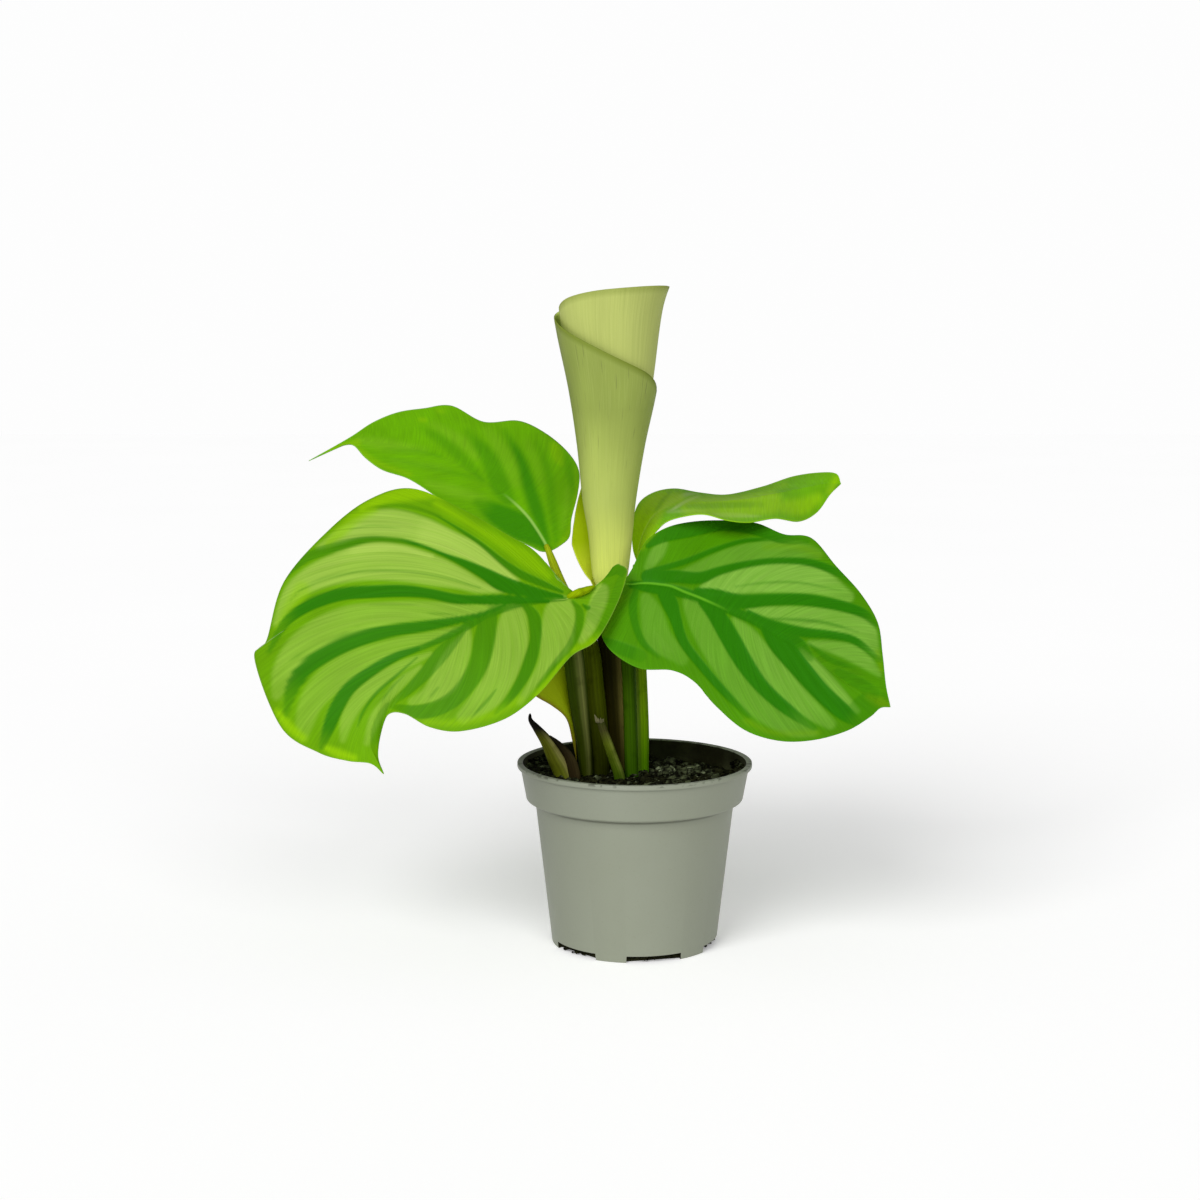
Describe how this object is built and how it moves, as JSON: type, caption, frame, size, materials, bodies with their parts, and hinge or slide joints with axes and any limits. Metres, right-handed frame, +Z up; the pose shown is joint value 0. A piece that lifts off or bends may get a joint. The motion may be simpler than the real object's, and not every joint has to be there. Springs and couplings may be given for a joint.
{
  "type": "potted calathea orbifolia",
  "caption": "Young striped prayer plant with broad open leaves and a rolled new leaf on bare stems, in a small round nursery pot of soil.",
  "frame": {"origin": "centre of the pot's flat underside", "axes": "+Z up along the pot's axis; +X to the right and +Y away as the plant is seen from the front, with the rolled leaf upright and an open leaf low on each side"},
  "size_m": [0.314, 0.1828, 0.3341],
  "materials": {
    "pot_plastic": "satin sage grey-green plastic",
    "potting_soil": "dark crumbly peat with fine bark",
    "striped_leaf": "satin green leaf with pale silvery bands between dark side veins",
    "rolled_leaf": "pale matte underside of a young leaf",
    "petiole": "satin olive green stem",
    "sheath": "thin yellow-green sheath",
    "dried_husk": "dry olive and brown husk"
  },
  "bodies": {
    "root": {"pot": "pot_plastic", "soil": "potting_soil", "leaf_front_left": "striped_leaf", "leaf_front_right": "striped_leaf", "leaf_back_left": "striped_leaf", "leaf_back_right": "striped_leaf", "leaf_rolled": "rolled_leaf", "petiole_front_left": "petiole", "petiole_back_left": "petiole", "petiole_front_right": "petiole", "petiole_back_right": "petiole", "petiole_rolled_leaf": "petiole", "cut_petiole": "petiole", "outer_sheath": "sheath", "dried_shoot": "dried_husk"}
  },
  "joints": []
}
